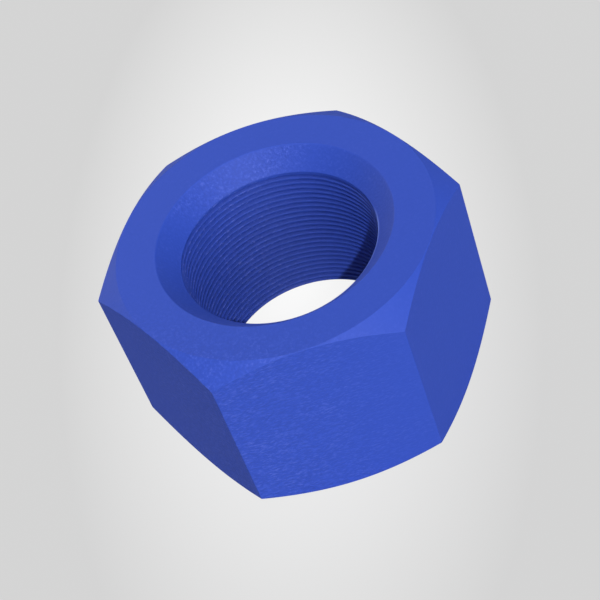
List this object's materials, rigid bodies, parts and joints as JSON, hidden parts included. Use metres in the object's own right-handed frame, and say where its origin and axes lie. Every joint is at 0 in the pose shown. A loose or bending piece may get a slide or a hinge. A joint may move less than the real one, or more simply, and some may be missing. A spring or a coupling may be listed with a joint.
{
  "type": "heavy hex nut",
  "caption": "Thick heavy hex nut with a blue coating, chamfered corners and a countersunk fine-threaded bore, for a large flange stud.",
  "frame": {"origin": "centre of the bore at the lower face, which the nut stands on", "axes": "+Z along the bore from the lower face to the upper one, +X towards a corner of the hexagon, +Y towards the middle of a flat"},
  "size_m": [0.1726, 0.1496, 0.096],
  "materials": {
    "blue_coating": "satin sprayed coating with a fine grain, over steel"
  },
  "bodies": {
    "root": {"hex_nut": "blue_coating"}
  },
  "joints": []
}
